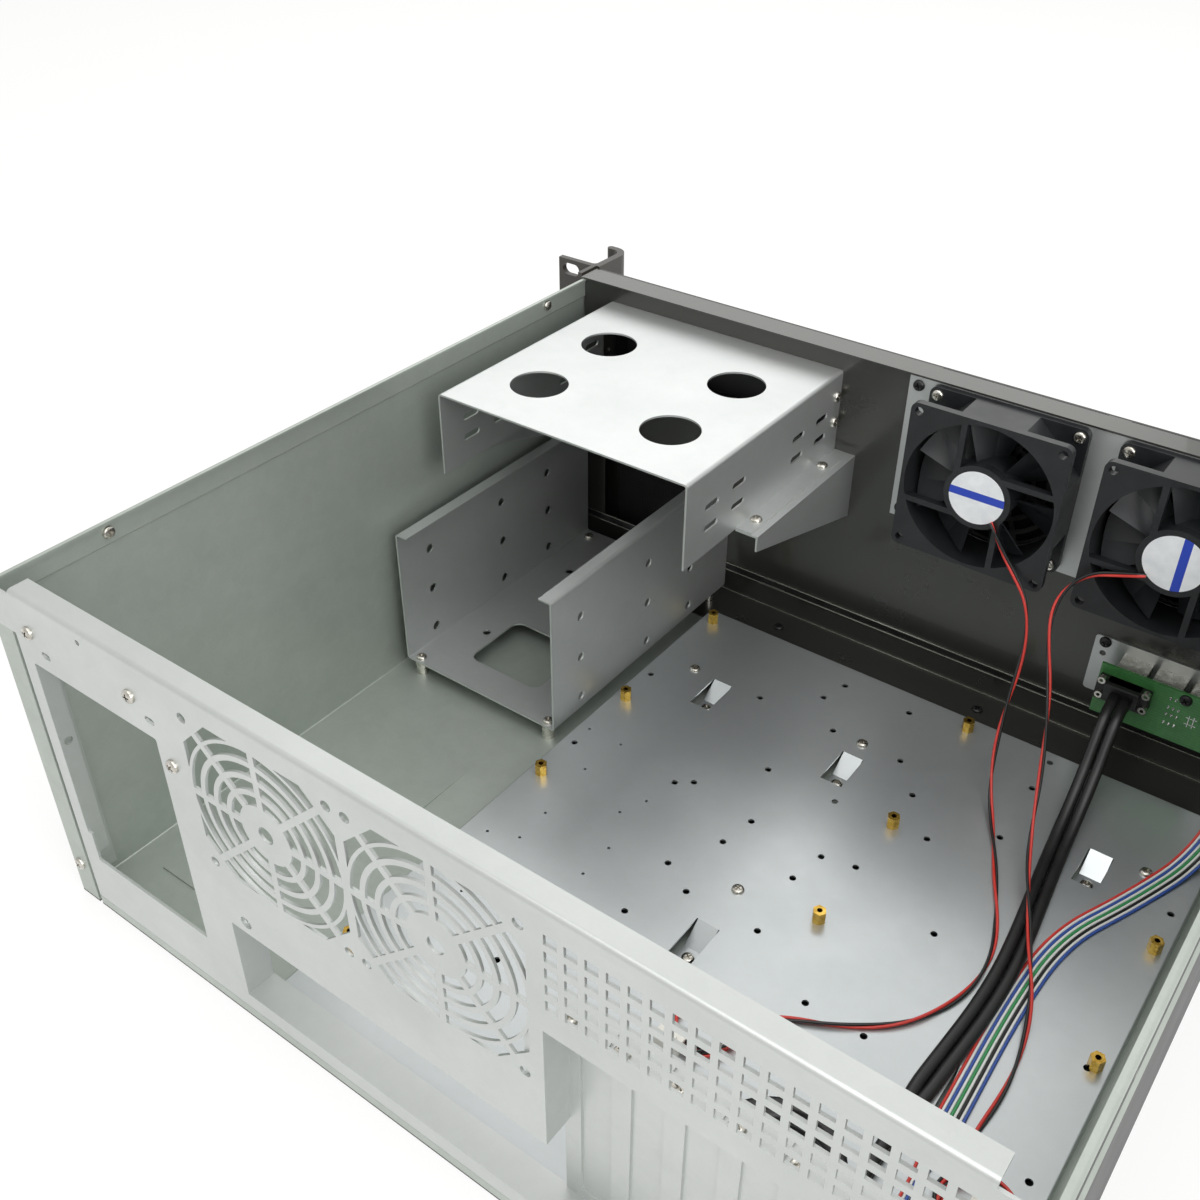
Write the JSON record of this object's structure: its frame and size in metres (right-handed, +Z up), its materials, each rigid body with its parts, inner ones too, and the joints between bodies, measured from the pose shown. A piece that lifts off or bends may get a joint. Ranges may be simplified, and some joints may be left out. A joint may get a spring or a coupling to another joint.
{
  "type": "empty rackmount server case",
  "caption": "Open-topped 4U rackmount computer case in folded steel, with drive cages, a raised motherboard tray with brass standoffs, front fans and rack ears.",
  "frame": {"origin": "middle of the width on the underside, 197.7 mm in front of the outer rear face", "axes": "+Z up, the front panel faces -Y, the drive cages are on the +X side"},
  "size_m": [0.4826, 0.4282, 0.177],
  "materials": {
    "galvanised": "satin",
    "body_steel": "satin",
    "black_steel": "satin",
    "ear_black": "satin",
    "brass": "polished",
    "nickel": "polished",
    "black_screw": "satin",
    "fan_plastic": "satin",
    "label": "satin",
    "green_board": "satin",
    "black_plastic": "matte",
    "connector_metal": "satin",
    "lens": "polished",
    "lead": "satin",
    "usb_lead": "satin",
    "ribbon": "satin",
    "white_plastic": "satin"
  },
  "bodies": {
    "chassis": {"audio_jacks": "connector_metal", "bay_cover": "black_plastic", "button_board": "green_board", "cage_bracket_left": "galvanised", "cage_bracket_right": "galvanised", "case_screws": "nickel", "chassis_tub": "body_steel", "ear_screws": "black_screw", "fan_frame_1": "fan_plastic", "fan_frame_2": "fan_plastic", "fan_label_1": "label", "fan_label_2": "label", "fan_lead_1": "lead", "fan_lead_1_coil": "lead", "fan_lead_1_plug": "white_plastic", "fan_lead_2": "lead", "fan_lead_2_coil": "lead", "fan_lead_2_plug": "white_plastic", "fan_plate": "galvanised", "fan_screws": "nickel", "front_bezel": "black_steel", "front_io_plate": "galvanised", "front_wall": "black_steel", "front_wall_screws": "black_screw", "hdd_cage": "galvanised", "hdd_cage_posts": "galvanised", "hdd_cage_screws": "nickel", "io_slot_pan": "galvanised", "led_lenses": "lens", "motherboard_tray": "galvanised", "optical_cage": "galvanised", "optical_cage_screws": "nickel", "panel_ribbon": "ribbon", "panel_ribbon_coil": "ribbon", "panel_ribbon_plug": "black_plastic", "rack_ear_left": "ear_black", "rack_ear_right": "ear_black", "rear_panel": "galvanised", "slot_cover_1": "galvanised", "slot_cover_2": "galvanised", "slot_cover_3": "galvanised", "slot_cover_4": "galvanised", "slot_cover_5": "galvanised", "slot_cover_6": "galvanised", "slot_cover_7": "galvanised", "slot_cover_screws": "nickel", "standoffs": "brass", "tray_screws": "nickel", "usb_board": "green_board", "usb_cable": "usb_lead", "usb_cable_coil": "usb_lead", "usb_cable_plug": "black_plastic", "usb_plug": "black_plastic", "usb_sockets": "connector_metal"},
    "rotor_1": {"fan_rotor_1": "fan_plastic"},
    "rotor_2": {"fan_rotor_2": "fan_plastic"},
    "power": {"power_button": "black_plastic"},
    "reset": {"reset_button": "black_plastic"}
  },
  "joints": [
    {"name": "fan_1_spin", "type": "hinge", "parent": "chassis", "child": "rotor_1", "pos_m": [-0.0451, -0.1717, 0.134], "axis": [0, 1, 0], "continuous": true},
    {"name": "fan_2_spin", "type": "hinge", "parent": "chassis", "child": "rotor_2", "pos_m": [-0.1396, -0.1717, 0.134], "axis": [0, 1, 0], "continuous": true},
    {"name": "power_press", "type": "slide", "parent": "chassis", "child": "power", "axis": [0, 1, 0], "range_m": [0, 0.0015], "stiffness_N_per_m": 600, "springref_m": -0.001},
    {"name": "reset_press", "type": "slide", "parent": "chassis", "child": "reset", "axis": [0, 1, 0], "range_m": [0, 0.0015], "stiffness_N_per_m": 500, "springref_m": -0.001}
  ]
}
